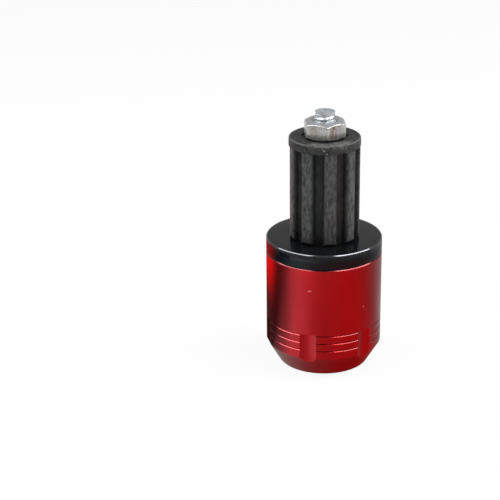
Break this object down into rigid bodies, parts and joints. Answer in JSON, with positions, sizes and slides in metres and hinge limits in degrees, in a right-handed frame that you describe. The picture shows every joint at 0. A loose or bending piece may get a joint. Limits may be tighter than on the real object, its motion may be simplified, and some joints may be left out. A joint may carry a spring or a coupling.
{
  "type": "bar end weight",
  "caption": "Turned and fluted aluminium handlebar end weight with a dark collar, a ribbed rubber expansion plug, and a hex nut on a long socket cap screw.",
  "frame": {"origin": "centre of the outer end face, on the screw's axis", "axes": "+Z along the screw, from the outer end face towards the nut; -Y towards the picture's camera"},
  "size_m": [0.03, 0.03, 0.0677],
  "materials": {
    "red_anodised": "satin red anodising",
    "black_anodised": "satin black anodising",
    "moulded_rubber": "matt moulded black rubber, slightly mottled",
    "zinc_plated_nut": "zinc plated",
    "zinc_plated_screw": "bright zinc plated"
  },
  "bodies": {
    "root": {"end_cap": "red_anodised", "collar": "black_anodised", "rubber_plug": "moulded_rubber", "hex_nut": "zinc_plated_nut", "cap_screw": "zinc_plated_screw"}
  },
  "joints": []
}
